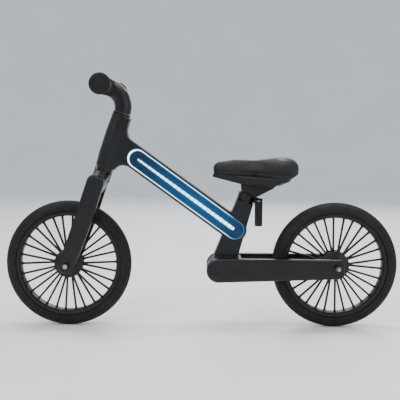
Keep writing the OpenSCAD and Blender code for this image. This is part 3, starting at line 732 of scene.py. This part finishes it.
def trim_at_joint(piece, side):
    """Cuts the piece off at the joint: side 1 keeps what is above it, side -1 what is below it."""
    bm = bmesh.new()
    bm.from_mesh(piece.data)
    past = {v: side * (joint_height(v.co.x) - v.co.z) for v in bm.verts}
    gone = [f for f in bm.faces if min(past[v] for v in f.verts) > 0]
    bmesh.ops.delete(bm, geom=gone, context="FACES")
    for v in bm.verts:
        v.co.z = side * max(side * v.co.z, side * joint_height(v.co.x))
    filled = bmesh.ops.holes_fill(bm, edges=[e for e in bm.edges if e.is_boundary])
    for face in filled["faces"]:
        face.smooth = False
    bmesh.ops.recalc_face_normals(bm, faces=bm.faces)
    bm.to_mesh(piece.data)
    bm.free()


def swell(pad):
    """The pad's points after a cloth simulation has blown its cover up a little."""
    shrink, limit, frames = 1.5 * MM, 6 * MM, 20
    normals = np.array([v.normal for v in pad.data.vertices])
    start = np.array([v.co for v in pad.data.vertices]) - shrink * normals
    for v, co in zip(pad.data.vertices, start):
        v.co = co
    cloth = pad.modifiers.new("cloth", "CLOTH")
    cloth.settings.quality = 5
    cloth.settings.mass = 0.3
    cloth.settings.use_pressure = True
    cloth.settings.uniform_pressure_force = 4
    cloth.settings.tension_stiffness = 30
    cloth.settings.effector_weights.gravity = 0
    for step in range(frames):
        scene.frame_set(step + 1)
    depsgraph = bpy.context.evaluated_depsgraph_get()
    swollen = np.array([v.co for v in pad.evaluated_get(depsgraph).data.vertices])
    pad.modifiers.clear()
    scene.frame_set(1)
    move = swollen - start
    length = np.maximum(np.linalg.norm(move, axis=1, keepdims=True), 1e-9)
    return start + move * np.minimum(1.0, limit / length)


def make_pad():
    """The pad with its cover swollen by its filling, cut off flat where it rests on the shell."""
    pad = copy_of_node("saddle_cushion", "saddle_pad", leather)
    lo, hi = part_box("saddle_pad")
    move_joint_face(pad, -14 * MM)
    soften(pad, 5 * MM, 5)
    for v, co in zip(pad.data.vertices, swell(pad)):
        v.co = (*np.clip(co[:2], lo[:2], hi[:2]), min(co[2], hi.z))
    subdivide = pad.modifiers.new("subdivide", "SUBSURF")
    subdivide.levels = subdivide.render_levels = 2
    apply_modifiers(pad)
    trim_at_joint(pad, 1)
    return pad


def make_shell():
    """The shell under the pad, rounded except where the pad rests on it."""
    shell = copy_of_node("saddle_shell_moulding", "saddle_base", shell_plastic)
    move_joint_face(shell, 6 * MM)
    soften(shell, 1.2 * MM, 7, keep=0.4)
    trim_at_joint(shell, -1)
    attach(shell, "seat")
    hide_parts("saddle_base")


def seam_height(x):
    """Height of the seam that runs round the pad's side."""
    return joint_height(x) + 9 * MM


def press_seam(pad):
    """A shallow groove round the pad, where its top and side panels are sewn together."""
    normals = [v.normal.copy() for v in pad.data.vertices]
    for v, normal in zip(pad.data.vertices, normals):
        near = bump_at(v.co.z, seam_height(v.co.x), 4 * MM)
        if normal.z < 0.75:
            v.co -= normal * near * 0.9 * MM


def seam_line(pad):
    """Points in order round the pad at the seam's height, found on its own surface."""
    bm = bmesh.new()
    bm.from_mesh(pad.data)
    tree = BVHTree.FromBMesh(bm)
    bm.free()
    middle_x, outside, count = 0.15, 0.2, 240
    line = []
    for k in range(count):
        angle = 2 * math.pi * k / count
        way = Vector((math.cos(angle), math.sin(angle), 0))
        found = Vector((middle_x, 0, 0)) + way * 0.05
        # The seam's height depends on where the ray ends, so a few tries close in on it
        for _ in range(4):
            start = Vector((middle_x, 0, seam_height(found.x))) + way * outside
            found = tree.ray_cast(start, -way)[0]
        line.append(found)
    return line


def tube(points, radius, sides=8):
    """Points and faces of a closed loop of round cord."""
    out = []
    for i, middle in enumerate(points):
        ahead = (points[(i + 1) % len(points)] - points[i - 1]).normalized()
        side = ahead.cross(Vector((0, 0, 1))).normalized()
        up = side.cross(ahead)
        for k in range(sides):
            t = 2 * math.pi * k / sides
            out.append(middle + side * radius * math.cos(t) + up * radius * math.sin(t))
    return out, strips(len(points), sides)


make_shell()
pad = make_pad()
press_seam(pad)
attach(pad, "seat")
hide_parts("saddle_pad")
piping_mesh = mesh_from("saddle_piping", *tube(seam_line(pad), 1.1 * MM))
outward(piping_mesh)
piping = add_object("saddle_piping", piping_mesh, leather)
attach(piping, "seat")


# ---- Stage, lights and camera ----

def make_stage():
    """A pale floor that curves up into a wall all round."""
    flat, bend, top, steps, turns = 3.6, 2.6, 5.0, 12, 96
    profile = [(0.0, 0.0), (2.0, 0.0), (flat, 0.0)]
    for i in range(1, steps + 1):
        a = math.pi / 2 * i / steps
        profile.append((flat + bend * math.sin(a), bend - bend * math.cos(a)))
    profile.append((flat + bend, top))
    points = []
    for k in range(turns):
        a = 2 * math.pi * k / turns
        points += [(r * math.cos(a), r * math.sin(a), z) for r, z in profile]
    faces = strips(turns, len(profile), columns_closed=False)
    s = Surface("pale_floor", (0.8, 0.82, 0.84), 0.6)
    s.put("Base Color", s.ramp(s.noise(3, 4), [(0.3, (0.79, 0.81, 0.83)), (0.7, (0.82, 0.84, 0.86))]))
    s.rough(s.noise(12, 4), 0.5, 0.65)
    floor = add_object("floor", mesh_from("floor", points, faces), s.material)


def area_light(name, place, target, size, power):
    """A soft lamp at place, turned towards target."""
    data = bpy.data.lights.new(name, "AREA")
    data.shape = "RECTANGLE"
    data.size, data.size_y = size
    data.energy = power
    lamp = bpy.data.objects.new(name, data)
    scene.collection.objects.link(lamp)
    lamp.location = place
    lamp.rotation_euler = (Vector(target) - Vector(place)).to_track_quat("-Z", "Y").to_euler()


make_stage()
area_light("key", (-1.5, -2.2, 2.3), (0, 0, 0.3), (1.8, 1.4), 55)
area_light("fill", (2.4, -1.8, 1.3), (0, 0, 0.3), (1.8, 1.4), 22)
area_light("top", (0.1, 0.3, 2.4), (0, 0, 0.2), (2.4, 0.8), 45)
area_light("back", (0.6, 2.6, 1.6), (0, 0, 0.3), (2.4, 1.2), 40)
world = bpy.data.worlds.new("studio")
world.use_nodes = True
world.node_tree.nodes["Background"].inputs["Color"].default_value = (0.86, 0.91, 0.96, 1)
world.node_tree.nodes["Background"].inputs["Strength"].default_value = 0.85
scene.world = world

# Nearly square to the bike's left side, above saddle height and looking five degrees down
camera_data = bpy.data.cameras.new("camera")
camera_data.sensor_width = 36
camera_data.lens = 72.72
camera = bpy.data.objects.new("camera", camera_data)
scene.collection.objects.link(camera)
camera.location = (-0.0023, -1.8723, 0.4599)
camera.rotation_euler = tuple(math.radians(a) for a in (84.9748, -0.4695, 0.1281))
scene.camera = camera
